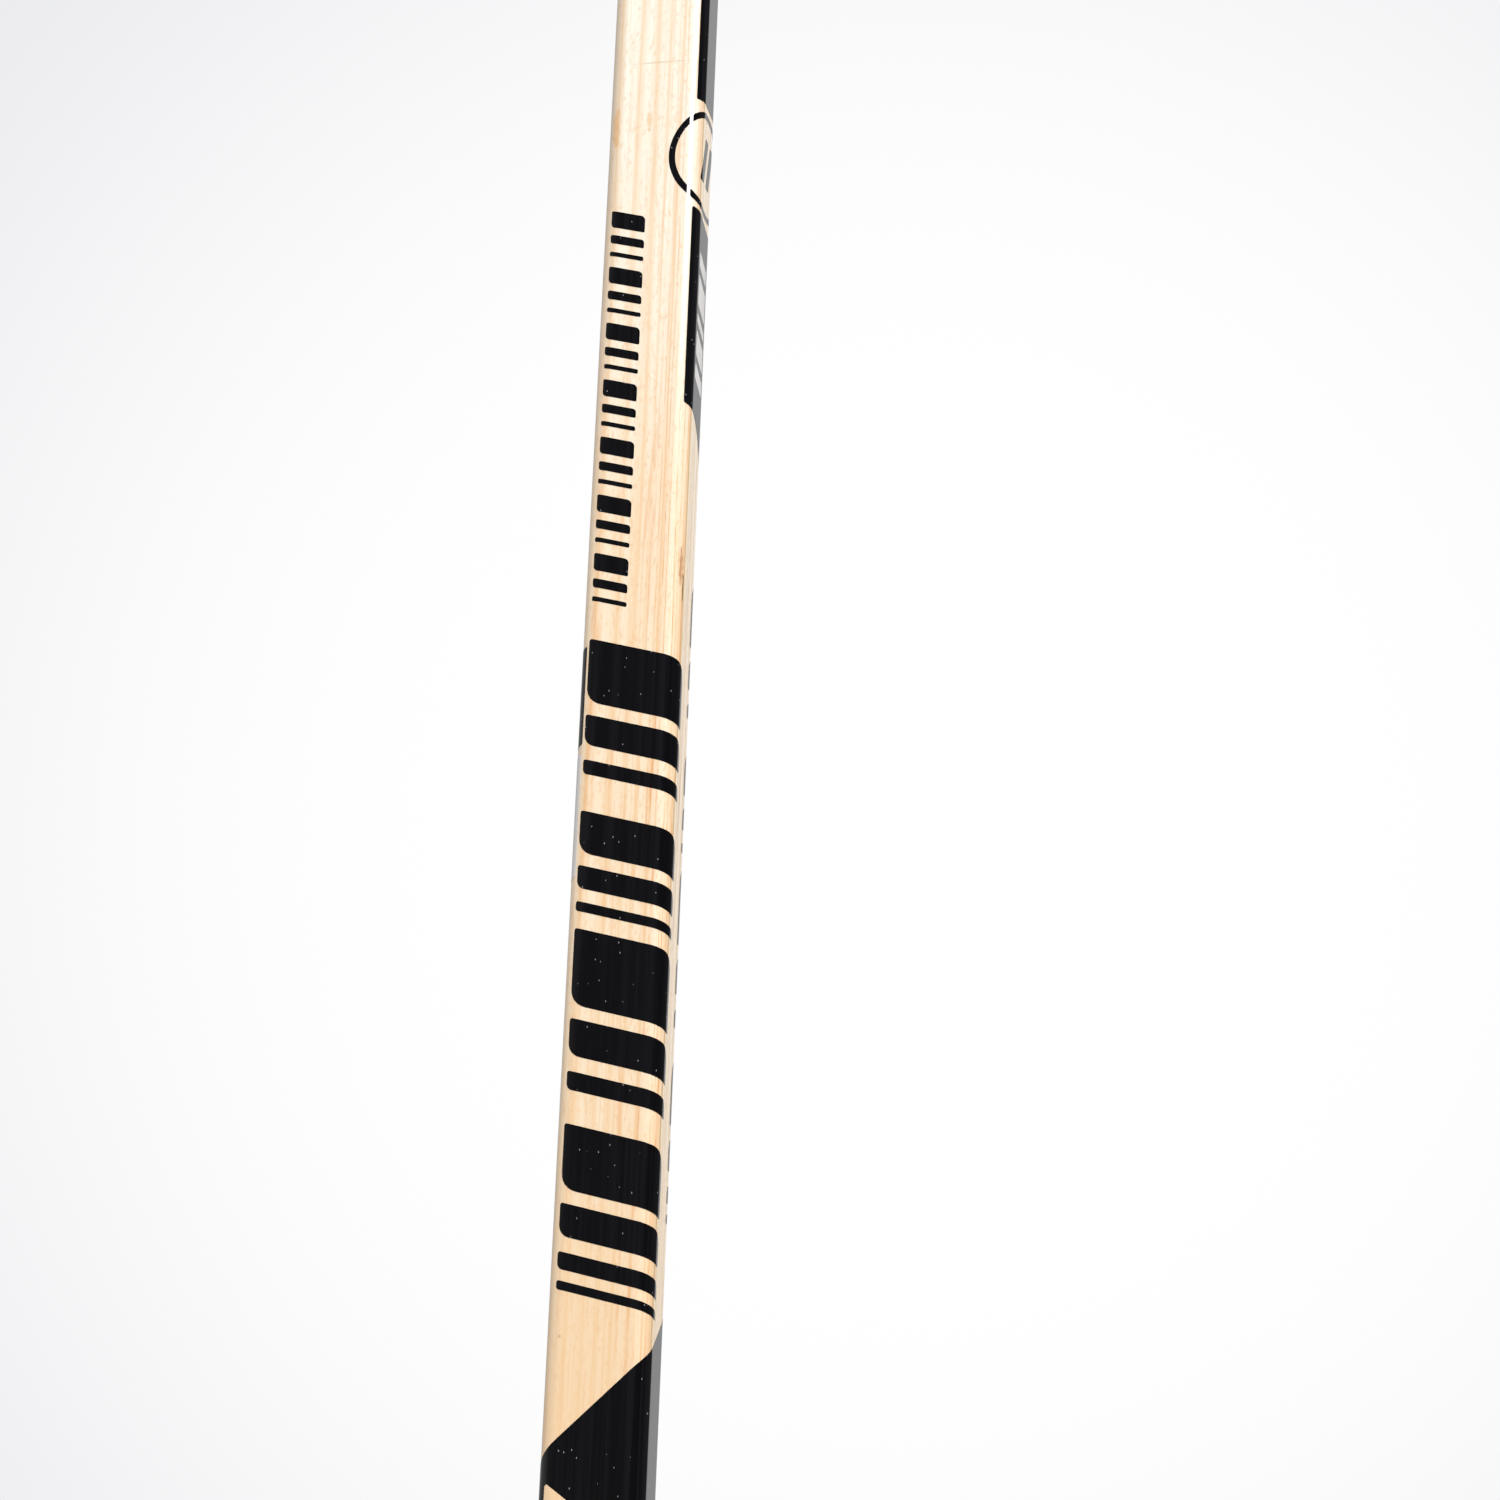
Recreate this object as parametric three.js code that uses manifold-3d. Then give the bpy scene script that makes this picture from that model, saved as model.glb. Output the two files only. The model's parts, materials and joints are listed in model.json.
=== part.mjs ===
// Laminated wooden ice hockey stick, player's pattern, right side up with the blade down.
//
// Millimetres, +Z up. The origin is the middle of the butt end's flat top, and the shaft runs
// straight down from it. The wide front face looks along -Y, and the blade reaches out along +X.
// The shaft is a stack of plies through its thickness (Y). The blade's tongue is glued into a
// slot in the middle of the stack, and the outer plies are shaved down over it.

import * as THREE from 'three';
import { mergeVertices } from 'three/addons/utils/BufferGeometryUtils.js';
import Module from 'manifold-3d';

const wasm = await Module();
wasm.setup();

// Shaft
const SHAFT_LENGTH = 1500; // butt end to heel corner
const SHAFT_WIDTH = 30; // across the wide face
const SHAFT_THICKNESS = 20;
const SHAFT_CORNER_RADIUS = 5;
const BUTT_CHAMFER = 1;

// Plies, counted outwards from the middle plane
const GLUE_LINE = 0.1;
const CENTRE_PLY = 6;
const SIDE_PLY = 2.8;
const FIBRE_LAYER = 0.4;

// Blade
const LIE_ANGLE = 135; // between the shaft and the blade's bottom edge
const BLADE_LENGTH = 300; // heel corner to toe tip
const BLADE_HEIGHT_AT_HEEL = 62;
const BLADE_HEIGHT_GAIN = 7; // the blade is this much higher towards the toe
const BLADE_ROCKER = 5; // how far the bottom edge lifts towards the toe
const BLADE_ROCKER_START = 60;
const BLADE_TOE_LENGTH = 36; // the stretch that is rounded off
const BLADE_CURVE_DEPTH = 14; // the toe's offset towards -Y
const BLADE_CURVE_POWER = 1.7;
const BLADE_CORE_THINNING = 1.8; // the core is this much thinner at the toe
const BLADE_SKIN = 0.8;
const STRIP_SEAMS = [22, 43]; // heights of the two seams between the core strips

// Heel
const HEEL_RADIUS = 45;
const THROAT_RADIUS = 90; // hollow curve between the shaft's front edge and the blade's top
const TAPER_TOP = -1330; // the shaft's faces are shaved down from here
const CHEEK_END = -1520; // the outer plies end here, on the blade
const TONGUE_TOP = -1380;
const HEEL_JOINT = 28; // the core strips start at this distance from the heel corner
const JOINT_GAP = 0.3;

// Fineness of the curves, and the least sizes
const THINNEST = 0.6; // a blade piece ends where it is no higher than this
const SKIN_START_HEIGHT = 0.7; // a skin is this high where it starts at the heel
const TIP_CLEARANCE = 0.02; // the last station's distance from the toe tip
const CORNER_STEPS = 8;
const TAPER_STEPS = 38;
const SHAFT_STEPS = 10;
const BLADE_STEPS = 34;
const TOE_STEPS = 12;

// Derived sizes
const HALF_WIDTH = SHAFT_WIDTH / 2;
const HALF_THICKNESS = SHAFT_THICKNESS / 2;
const CENTRE_HALF = CENTRE_PLY / 2;
const SIDE_INNER = CENTRE_HALF + GLUE_LINE;
const SIDE_OUTER = SIDE_INNER + SIDE_PLY;
const FIBRE_INNER = SIDE_OUTER + GLUE_LINE;
const FIBRE_OUTER = FIBRE_INNER + FIBRE_LAYER;
const FACE_INNER = FIBRE_OUTER + GLUE_LINE;
const CHEEK_HALF = CENTRE_HALF + GLUE_LINE + BLADE_SKIN;
const BLADE_TILT = THREE.MathUtils.degToRad(LIE_ANGLE - 90);
const TANGENT = Math.tan(BLADE_TILT / 2); // corner to tangent point, per unit of radius
const BLADE_COS = Math.cos(BLADE_TILT);
const BLADE_SIN = Math.sin(BLADE_TILT);
const BLADE_SLOPE = BLADE_SIN / BLADE_COS;

// The height where the shaft's front edge would meet the blade's top edge
const THROAT_CORNER = -SHAFT_LENGTH + BLADE_HEIGHT_AT_HEEL / BLADE_COS - SHAFT_WIDTH * BLADE_SLOPE;

// Stretches of the blade, measured along its bottom edge from the heel corner
const CHEEK_LINE = (-CHEEK_END - SHAFT_LENGTH) / BLADE_SIN; // the cheeks end here
const FLAT_END = CHEEK_LINE + BLADE_HEIGHT_AT_HEEL / BLADE_SLOPE;
const TOE_START = BLADE_LENGTH - BLADE_TOE_LENGTH;

// Ends of the cutting boxes, clear of the stick
const CLEARANCE = 10;
const ABOVE_BUTT = CLEARANCE;
const BELOW_CHEEKS = CHEEK_END - CLEARANCE;
const OUTSIDE = HALF_THICKNESS + CLEARANCE;
const REACH = 2 * BLADE_LENGTH;

// Colours
const BIRCH = new THREE.MeshStandardMaterial({ color: '#f6e6c9', roughness: 0.35, metalness: 0 });
const ASPEN = new THREE.MeshStandardMaterial({ color: '#ead0a4', roughness: 0.45, metalness: 0 });
const FIBRE = new THREE.MeshStandardMaterial({ color: '#d9d3bd', roughness: 0.3, metalness: 0 });
const ASH = new THREE.MeshStandardMaterial({ color: '#e2c497', roughness: 0.45, metalness: 0 });
const SKIN = new THREE.MeshStandardMaterial({ color: '#e6d3ae', roughness: 0.25, metalness: 0 });

// A closed three.js geometry as a solid for cutting.
function toSolid(geometry) {
  const bare = geometry.clone();
  bare.deleteAttribute('normal');
  bare.deleteAttribute('uv');
  const merged = mergeVertices(bare);
  const vertProperties = new Float32Array(merged.attributes.position.array);
  const triVerts = new Uint32Array(merged.index.array);
  return new wasm.Manifold(new wasm.Mesh({ numProp: 3, vertProperties, triVerts }));
}

// A cut solid as a three.js geometry again.
function toGeometry(solid) {
  const mesh = solid.getMesh();
  const geometry = new THREE.BufferGeometry();
  const positions = new THREE.BufferAttribute(new Float32Array(mesh.vertProperties), 3);
  geometry.setAttribute('position', positions);
  geometry.setIndex(new THREE.BufferAttribute(new Uint32Array(mesh.triVerts), 1));
  return geometry;
}

// What the solids have in common, as a geometry.
function common(first, ...others) {
  return toGeometry(others.reduce((solid, other) => solid.intersect(other), first));
}

// A named mesh.
function piece(name, geometry, material) {
  const mesh = new THREE.Mesh(geometry, material);
  mesh.geometry.computeVertexNormals();
  mesh.name = name;
  return mesh;
}

// Joins rings of points into one closed surface. Each ring runs anticlockwise about the direction
// from the first ring to the last.
function loft(rings) {
  const count = rings[0].length;
  const index = [];
  for (let ring = 0; ring + 1 < rings.length; ring += 1) {
    const here = ring * count;
    const next = here + count;
    for (let i = 0; i < count; i += 1) {
      const j = (i + 1) % count;
      index.push(here + i, here + j, next + j);
      index.push(here + i, next + j, next + i);
    }
  }
  const last = (rings.length - 1) * count;
  for (let i = 1; i + 1 < count; i += 1) {
    index.push(0, i + 1, i);
    index.push(last, last + i, last + i + 1);
  }
  const geometry = new THREE.BufferGeometry().setFromPoints(rings.flat());
  geometry.setIndex(index);
  return geometry;
}

// --- The stick's outer shape, from the butt end to the ends of the cheeks ---

// The edge on the heel's side: straight, round the heel, then along the blade's bottom.
function heelEdge(z) {
  const arcTop = -SHAFT_LENGTH + HEEL_RADIUS * TANGENT;
  const arcEnd = -SHAFT_LENGTH - HEEL_RADIUS * TANGENT * BLADE_SIN;
  if (z >= arcTop) return -HALF_WIDTH;
  if (z < arcEnd) return -HALF_WIDTH + (-SHAFT_LENGTH - z) / BLADE_SLOPE;
  const drop = arcTop - z;
  return -HALF_WIDTH + HEEL_RADIUS - Math.sqrt(HEEL_RADIUS ** 2 - drop ** 2);
}

// The edge on the throat's side: straight, through the hollow curve, then along the blade's top.
function throatEdge(z) {
  const arcTop = THROAT_CORNER + THROAT_RADIUS * TANGENT;
  const arcEnd = THROAT_CORNER - THROAT_RADIUS * TANGENT * BLADE_SIN;
  if (z >= arcTop) return HALF_WIDTH;
  if (z < arcEnd) return HALF_WIDTH + (THROAT_CORNER - z) / BLADE_SLOPE;
  const drop = arcTop - z;
  return HALF_WIDTH + THROAT_RADIUS - Math.sqrt(THROAT_RADIUS ** 2 - drop ** 2);
}

// Half the stick's thickness at a height.
function halfThickness(z) {
  const share = THREE.MathUtils.smoothstep(-z, -TAPER_TOP, -CHEEK_END);
  return THREE.MathUtils.lerp(HALF_THICKNESS, CHEEK_HALF, share);
}

// One level outline of the stick: a rectangle with round corners, seen from below.
function outline(z) {
  const inset = Math.max(0, BUTT_CHAMFER + z);
  const half = halfThickness(z);
  const radius = (SHAFT_CORNER_RADIUS * (half - SIDE_INNER)) / (HALF_THICKNESS - SIDE_INNER);
  const left = heelEdge(z) + inset + radius;
  const right = throatEdge(z) - inset - radius;
  const depth = half - inset - radius;
  const corners = [
    [right, -depth, 0],
    [left, -depth, -90],
    [left, depth, -180],
    [right, depth, -270],
  ];
  return corners.flatMap(([x, y, start]) => {
    const points = [];
    for (let step = 0; step <= CORNER_STEPS; step += 1) {
      const angle = THREE.MathUtils.degToRad(start - (90 * step) / CORNER_STEPS);
      points.push(new THREE.Vector3(x + radius * Math.cos(angle), y + radius * Math.sin(angle), z));
    }
    return points;
  });
}

// Heights of the outlines: the chamfer, the plain shaft, then close together down the taper.
function outlineHeights() {
  const heights = [0];
  for (let step = 0; step < SHAFT_STEPS; step += 1) {
    heights.push(THREE.MathUtils.lerp(-BUTT_CHAMFER, TAPER_TOP, step / SHAFT_STEPS));
  }
  for (let step = 0; step <= TAPER_STEPS; step += 1) {
    heights.push(THREE.MathUtils.lerp(TAPER_TOP, CHEEK_END, step / TAPER_STEPS));
  }
  return heights;
}

const stickShape = toSolid(loft(outlineHeights().map(outline)));

// --- Shaft plies and heel block, each one layer of the outer shape ---

// The space between two distances from the middle plane and two heights.
function layer(fromY, toY, top, bottom) {
  const box = new THREE.BoxGeometry(2 * REACH, Math.abs(toY - fromY), top - bottom);
  box.translate(0, (fromY + toY) / 2, (top + bottom) / 2);
  return toSolid(box);
}

// One ply over the stick's whole length. side is -1 for the front and 1 for the back.
function ply(side, inner, outer) {
  return common(stickShape, layer(side * inner, side * outer, ABOVE_BUTT, BELOW_CHEEKS));
}

function centrePly() {
  return common(stickShape, layer(-CENTRE_HALF, CENTRE_HALF, ABOVE_BUTT, TONGUE_TOP + JOINT_GAP));
}

// The tongue and heel, cut off square to the blade where the core strips start.
function heelBlock() {
  const heelSide = new THREE.BoxGeometry(REACH, SHAFT_THICKNESS, REACH);
  heelSide.translate(HEEL_JOINT - REACH / 2, 0, 0);
  heelSide.rotateY(BLADE_TILT);
  heelSide.translate(-HALF_WIDTH, 0, -SHAFT_LENGTH);
  const middle = layer(-CENTRE_HALF, CENTRE_HALF, TONGUE_TOP, BELOW_CHEEKS);
  return common(stickShape, middle, toSolid(heelSide));
}

// --- Blade, in its own frame: X along the bottom edge from the heel corner, Z its height ---

// How much of the way from the flat stretch to the toe.
function bladeShare(x) {
  return THREE.MathUtils.clamp((x - FLAT_END) / (BLADE_LENGTH - FLAT_END), 0, 1);
}

function curveOffset(x) {
  return -BLADE_CURVE_DEPTH * bladeShare(x) ** BLADE_CURVE_POWER;
}

function coreHalf(x) {
  return CENTRE_HALF - (BLADE_CORE_THINNING / 2) * bladeShare(x);
}

// The blade's bottom and top edges, both rounded off to an ellipse at the toe.
function bladeEdges(x) {
  const lift = Math.max(0, (x - BLADE_ROCKER_START) / (TOE_START - BLADE_ROCKER_START));
  const bottom = BLADE_ROCKER * lift ** 2;
  const gain = THREE.MathUtils.smoothstep(x, FLAT_END, TOE_START);
  const top = BLADE_HEIGHT_AT_HEEL + BLADE_HEIGHT_GAIN * gain;
  const toe = Math.max(0, (x - TOE_START) / BLADE_TOE_LENGTH);
  const rounding = ((top - bottom) / 2) * (1 - Math.sqrt(1 - toe ** 2));
  return { bottom: bottom + rounding, top: top - rounding };
}

// Stations along the blade, closer together round the toe.
function bladeStations(from) {
  const stations = [from, FLAT_END];
  for (let step = 1; step < BLADE_STEPS; step += 1) {
    stations.push(THREE.MathUtils.lerp(from, TOE_START, step / BLADE_STEPS));
  }
  for (let step = 0; step < TOE_STEPS; step += 1) {
    stations.push(TOE_START + BLADE_TOE_LENGTH * Math.sin((Math.PI / 2) * (step / TOE_STEPS)));
  }
  stations.push(BLADE_LENGTH - TIP_CLEARANCE);
  return stations.sort((a, b) => a - b);
}

// A plank that follows the blade. span gives its bottom and top at a station, and near and far
// give the distances of its two faces from the blade's curved middle.
function plank(from, span, near, far) {
  const stations = bladeStations(from).filter((x) => span(x).top - span(x).bottom >= THINNEST);
  return loft(
    stations.map((x) => {
      const { bottom, top } = span(x);
      const middle = curveOffset(x);
      return [
        new THREE.Vector3(x, middle + near(x), bottom),
        new THREE.Vector3(x, middle + far(x), bottom),
        new THREE.Vector3(x, middle + far(x), top),
        new THREE.Vector3(x, middle + near(x), top),
      ];
    }),
  );
}

// One core strip between two seam heights.
function coreStrip(lower, upper) {
  const span = (x) => {
    const edges = bladeEdges(x);
    return { bottom: Math.max(lower, edges.bottom), top: Math.min(upper, edges.top) };
  };
  return plank(HEEL_JOINT + JOINT_GAP, span, (x) => -coreHalf(x), coreHalf);
}

// The skin on one side. It starts on the slanting line where the cheeks end.
function skin(side) {
  const start = CHEEK_LINE + JOINT_GAP;
  const span = (x) => {
    const edges = bladeEdges(x);
    return { bottom: edges.bottom, top: Math.min(edges.top, (x - start) * BLADE_SLOPE) };
  };
  const inner = (x) => coreHalf(x) + GLUE_LINE;
  const outer = (x) => inner(x) + BLADE_SKIN;
  const first = start + SKIN_START_HEIGHT / BLADE_SLOPE;
  if (side > 0) return plank(first, span, inner, outer);
  return plank(first, span, (x) => -outer(x), (x) => -inner(x));
}

// --- Assembly ---

const [LOWER_SEAM, UPPER_SEAM] = STRIP_SEAMS;

const blade = new THREE.Group();
blade.position.set(-HALF_WIDTH, 0, -SHAFT_LENGTH);
blade.rotation.y = BLADE_TILT;
blade.add(
  piece('blade_core_bottom_strip', coreStrip(0, LOWER_SEAM), ASH),
  piece('blade_core_middle_strip', coreStrip(LOWER_SEAM + GLUE_LINE, UPPER_SEAM), ASH),
  piece('blade_core_top_strip', coreStrip(UPPER_SEAM + GLUE_LINE, REACH), ASH),
  piece('blade_skin_front', skin(-1), SKIN),
  piece('blade_skin_back', skin(1), SKIN),
);

const stick = new THREE.Group();
stick.add(
  piece('shaft_face_ply_front', ply(-1, FACE_INNER, OUTSIDE), BIRCH),
  piece('shaft_fibre_layer_front', ply(-1, FIBRE_INNER, FIBRE_OUTER), FIBRE),
  piece('shaft_core_ply_front', ply(-1, SIDE_INNER, SIDE_OUTER), ASPEN),
  piece('shaft_core_ply_centre', centrePly(), ASPEN),
  piece('shaft_core_ply_back', ply(1, SIDE_INNER, SIDE_OUTER), ASPEN),
  piece('shaft_fibre_layer_back', ply(1, FIBRE_INNER, FIBRE_OUTER), FIBRE),
  piece('shaft_face_ply_back', ply(1, FACE_INNER, OUTSIDE), BIRCH),
  piece('heel_block', heelBlock(), ASH),
  blade,
);

export default stick;
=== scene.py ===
"""The looks of a laminated wooden ice hockey stick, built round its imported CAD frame.

Metres, +Z up the shaft. The print on the shaft is drawn on its unwrapped surface: u runs round the
outline from the middle of the front face towards +X, and z is the height.
"""

import json
import math

import bmesh
import bpy
from mathutils import Matrix, Vector
from mathutils.bvhtree import BVHTree

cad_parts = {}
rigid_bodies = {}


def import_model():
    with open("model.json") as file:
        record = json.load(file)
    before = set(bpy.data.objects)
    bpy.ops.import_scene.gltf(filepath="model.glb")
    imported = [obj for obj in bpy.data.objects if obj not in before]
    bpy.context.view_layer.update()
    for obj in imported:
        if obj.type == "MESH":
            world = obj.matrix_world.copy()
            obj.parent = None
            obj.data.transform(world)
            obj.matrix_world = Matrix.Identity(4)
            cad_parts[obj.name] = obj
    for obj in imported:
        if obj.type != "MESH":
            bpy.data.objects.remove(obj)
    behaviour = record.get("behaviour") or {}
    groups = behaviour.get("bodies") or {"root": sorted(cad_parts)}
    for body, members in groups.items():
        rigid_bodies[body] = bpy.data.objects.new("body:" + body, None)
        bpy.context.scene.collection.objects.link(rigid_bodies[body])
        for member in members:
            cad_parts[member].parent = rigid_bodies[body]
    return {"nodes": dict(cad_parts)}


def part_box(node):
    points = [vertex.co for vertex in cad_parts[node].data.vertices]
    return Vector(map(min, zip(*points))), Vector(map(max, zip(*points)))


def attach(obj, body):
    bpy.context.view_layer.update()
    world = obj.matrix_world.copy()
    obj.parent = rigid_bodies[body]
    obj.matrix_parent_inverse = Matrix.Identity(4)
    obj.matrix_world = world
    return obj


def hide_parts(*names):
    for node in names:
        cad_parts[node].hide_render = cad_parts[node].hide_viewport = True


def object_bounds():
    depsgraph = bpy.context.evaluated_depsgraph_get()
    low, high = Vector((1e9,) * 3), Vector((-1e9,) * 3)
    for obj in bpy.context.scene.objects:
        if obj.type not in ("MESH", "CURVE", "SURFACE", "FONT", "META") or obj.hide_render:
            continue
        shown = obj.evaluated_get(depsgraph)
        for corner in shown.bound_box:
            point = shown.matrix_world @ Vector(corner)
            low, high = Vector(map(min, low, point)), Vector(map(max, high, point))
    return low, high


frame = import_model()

MM = 0.001

# --- Sizes from the frame ---

CAD_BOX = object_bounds()
STRAIGHT_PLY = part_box("shaft_core_ply_centre")
HALF_WIDTH = STRAIGHT_PLY[1].x
HALF_THICKNESS = -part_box("shaft_face_ply_front")[0].y
CORNER_RADIUS = 5 * MM
FLAT_HALF = HALF_WIDTH - CORNER_RADIUS
SIDE_FLAT = 2 * (HALF_THICKNESS - CORNER_RADIUS)
CORNER_ARC = CORNER_RADIUS * math.pi / 2
PERIMETER = 4 * FLAT_HALF + 2 * SIDE_FLAT + 4 * CORNER_ARC
SIDE_MIDDLE = FLAT_HALF + CORNER_ARC + SIDE_FLAT / 2
BACK_MIDDLE = PERIMETER / 2

# Levels of the finish, outwards: wood, ink, pale ink on the black
VARNISH_DEPTH = 0.08 * MM
INK_DEPTH = 0.03 * MM
PALE_DEPTH = 0.005 * MM
FILM_THICKNESS = 0.1 * MM
BLADE_INK_RISE = 0.04 * MM

# --- Camera, at the photograph's viewing angle ---

VIEW_AZIMUTH = math.radians(14)
VIEW_DISTANCE = 1.1223
VIEW_HEIGHT = -1.2465
VIEW_YAW = math.radians(-1.752)
VIEW_PITCH = math.radians(21.943)
VIEW_ROLL = math.radians(2.048)
FOCAL_LENGTH = 99.24
SENSOR_WIDTH = 36
NEAR_CLIP = 0.01


def make_camera():
    heading = VIEW_AZIMUTH + VIEW_YAW
    level = math.cos(VIEW_PITCH)
    forward = Vector((
        -math.sin(heading) * level, math.cos(heading) * level, math.sin(VIEW_PITCH)))
    right = forward.cross(Vector((0, 0, 1))).normalized()
    up = right.cross(forward)
    turned_right = right * math.cos(VIEW_ROLL) + up * math.sin(VIEW_ROLL)
    turned_up = up * math.cos(VIEW_ROLL) - right * math.sin(VIEW_ROLL)
    rotation = Matrix((turned_right, turned_up, -forward)).transposed().to_4x4()
    place = Vector((math.sin(VIEW_AZIMUTH), -math.cos(VIEW_AZIMUTH), 0)) * VIEW_DISTANCE
    place.z = VIEW_HEIGHT
    data = bpy.data.cameras.new("camera")
    data.lens = FOCAL_LENGTH
    data.sensor_width = SENSOR_WIDTH
    data.clip_start = NEAR_CLIP
    camera = bpy.data.objects.new("camera", data)
    camera.matrix_world = Matrix.Translation(place) @ rotation
    bpy.context.scene.collection.objects.link(camera)
    bpy.context.scene.camera = camera


# --- Node graphs ---


class Graph:
    """Short calls for building a node tree."""

    def __init__(self, tree):
        self.tree = tree
        tree.nodes.clear()

    def node(self, kind, inputs=None, **settings):
        made = self.tree.nodes.new(kind)
        for name, value in settings.items():
            setattr(made, name, value)
        for name, value in (inputs or {}).items():
            self.put(made.inputs[name], value)
        return made

    def put(self, socket, value):
        if isinstance(value, bpy.types.NodeSocket):
            self.tree.links.new(value, socket)
        else:
            socket.default_value = value

    def math(self, operation, *values, clamp=False):
        made = self.node("ShaderNodeMath", operation=operation, use_clamp=clamp)
        for index, value in enumerate(values):
            self.put(made.inputs[index], value)
        return made.outputs[0]

    def range(self, value, low, high, to_low=0.0, to_high=1.0):
        made = self.node("ShaderNodeMapRange", interpolation_type="SMOOTHSTEP")
        for name, number in (("Value", value), ("From Min", low), ("From Max", high)):
            self.put(made.inputs[name], number)
        self.put(made.inputs["To Min"], to_low)
        self.put(made.inputs["To Max"], to_high)
        return made.outputs["Result"]

    def mix(self, factor, first, second):
        made = self.node("ShaderNodeMix", data_type="RGBA")
        self.put(made.inputs["Factor"], factor)
        self.put(made.inputs[6], first)
        self.put(made.inputs[7], second)
        return made.outputs[2]

    def ramp(self, value, stops):
        made = self.node("ShaderNodeValToRGB", {"Fac": value})
        elements = made.color_ramp.elements
        while len(elements) < len(stops):
            elements.new(0.5)
        for element, (position, level) in zip(elements, stops):
            element.position = position
            element.color = (level, level, level, 1)
        return made.outputs["Color"]

    def noise(self, vector, detail=2.0, roughness=0.5):
        made = self.node("ShaderNodeTexNoise", {
            "Vector": vector, "Scale": 1.0, "Detail": detail, "Roughness": roughness,
        })
        return made.outputs["Fac"]

    def stretch(self, vector, cell, shift=(0, 0, 0)):
        """The point counted in cells, each with a size across the grain and one along it."""
        across, along = cell
        made = self.node("ShaderNodeMapping", {"Vector": vector, "Location": shift})
        made.inputs["Scale"].default_value = (1 / across, 1 / across, 1 / along)
        return made.outputs["Vector"]


def linear(red, green, blue):
    """An sRGB colour, 0 to 255, as a linear one."""
    def one(value):
        share = value / 255
        return share / 12.92 if share <= 0.04045 else ((share + 0.055) / 1.055) ** 2.4
    return (one(red), one(green), one(blue), 1)


# --- Materials ---

VARNISH_ROUGHNESS = 0.045
VARNISH_IOR = 1.5

# How dark the growth lines are from one ring to the next: they deepen slowly and end sharply
RING_PROFILE = ((0.0, 0.05), (0.3, 0.0), (0.55, 0.35), (0.74, 0.95), (0.86, 0.5), (1.0, 0.05))
RING_WANDER = 3 * MM
RING_DRIFT = 9 * MM
VEIN_WIDTH = 0.2
VEIN_BANDS = 6.0

# Cells of the noise patterns: size across the grain, and along it
WANDER_CELL = (12 * MM, 260 * MM)
DRIFT_CELL = (9 * MM, 900 * MM)
STREAK_CELL = (1.7 * MM, 190 * MM)
FIBRE_CELL = (0.45 * MM, 28 * MM)
VEIN_CELL = (3.8 * MM, 420 * MM)
GAP_CELL = (1.4 * MM, 16 * MM)
BLOTCH_CELL = (14 * MM, 45 * MM)
RAY_CELL = (0.8 * MM, 2.2 * MM)
PORE_CELL = (0.35 * MM, 4 * MM)
CUT_PORE_CELL = (0.22 * MM, 40 * MM)
CUT_CELL = (5 * MM, 40 * MM)
THREAD_CELL = (0.15 * MM, 9 * MM)
PINHOLE_CELL = (1.7 * MM, 3.4 * MM)
PATCH_CELL = (8 * MM, 30 * MM)

# Painted light falloff: the board turns from paler to warmer over this stretch, and turns to honey, as
# painted shade, over the next one
FALLOFF_FROM, FALLOFF_TO = -0.56, -0.78
BOTTOM_SHADE_FROM, BOTTOM_SHADE_TO = -0.86, -1.04
# Painted shade: the top is darkened over this stretch, towards the butt end, where the light is
# strongest
TOP_SHADE_FROM, TOP_SHADE_TO = -0.5, -0.08
# Painted shade: the left rounding is darkened to tan between these distances from the middle
LEFT_SHADE_FROM, LEFT_SHADE_TO = -9.0 * MM, -13.6 * MM
LEFT_SHADE_HIGH, LEFT_SHADE_LOW = 0.45, 0.12

# Distances of the glue lines from the shaft's middle plane, and their half widths, dark and faint
GLUE_LEVELS = (3.05 * MM, 5.95 * MM, 6.45 * MM)
GLUE_DARK, GLUE_FAINT = 0.05 * MM, 0.16 * MM

GLUE_BROWN = linear(128, 88, 50)
END_PORE = linear(104, 72, 44)
# Painted shade colour for the top near the butt
TOP_SHADE = linear(172, 146, 112)
# Painted shade colour for the left rounding
LEFT_SHADE = linear(176, 140, 96)

# Woods: pale and honey high up, pale and honey low down, and deep for the darkest lines; the paler
# tones high up are painted light falloff
BIRCH = (
    linear(211, 209, 198), linear(205, 187, 162), linear(210, 196, 173), linear(205, 173, 134),
    linear(194, 132, 74),
)
ASPEN = (
    linear(226, 212, 190), linear(212, 186, 148), linear(226, 210, 184), linear(208, 178, 136),
    linear(180, 138, 92),
)
ASH = (
    linear(214, 188, 146), linear(188, 152, 104), linear(212, 184, 140), linear(186, 148, 100),
    linear(150, 108, 66),
)
STAIN_BROWN = linear(150, 96, 50)
STAIN_YELLOW = linear(192, 144, 88)
STAIN_DARK = linear(70, 48, 30)

# Small marks on the front: x, z, half sizes, colour, strength
WEAR_MARKS = (
    (-12.1 * MM, -0.592, 1.4 * MM, 8 * MM, STAIN_YELLOW, 0.7),
    (-1.5 * MM, -0.590, 1.0 * MM, 4 * MM, STAIN_YELLOW, 0.5),
    (14.0 * MM, -0.742, 0.5 * MM, 7 * MM, STAIN_BROWN, 0.75),
    (14.6 * MM, -0.748, 0.2 * MM, 5 * MM, STAIN_DARK, 0.8),
    (14.9 * MM, -0.838, 0.4 * MM, 2 * MM, STAIN_DARK, 0.7),
    (-10.4 * MM, -0.973, 0.6 * MM, 0.6 * MM, STAIN_BROWN, 0.4),
    (1.0 * MM, -0.5695, 9 * MM, 0.35 * MM, STAIN_BROWN, 0.3),
)
MARK_RAGGEDNESS = 3.2

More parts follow.
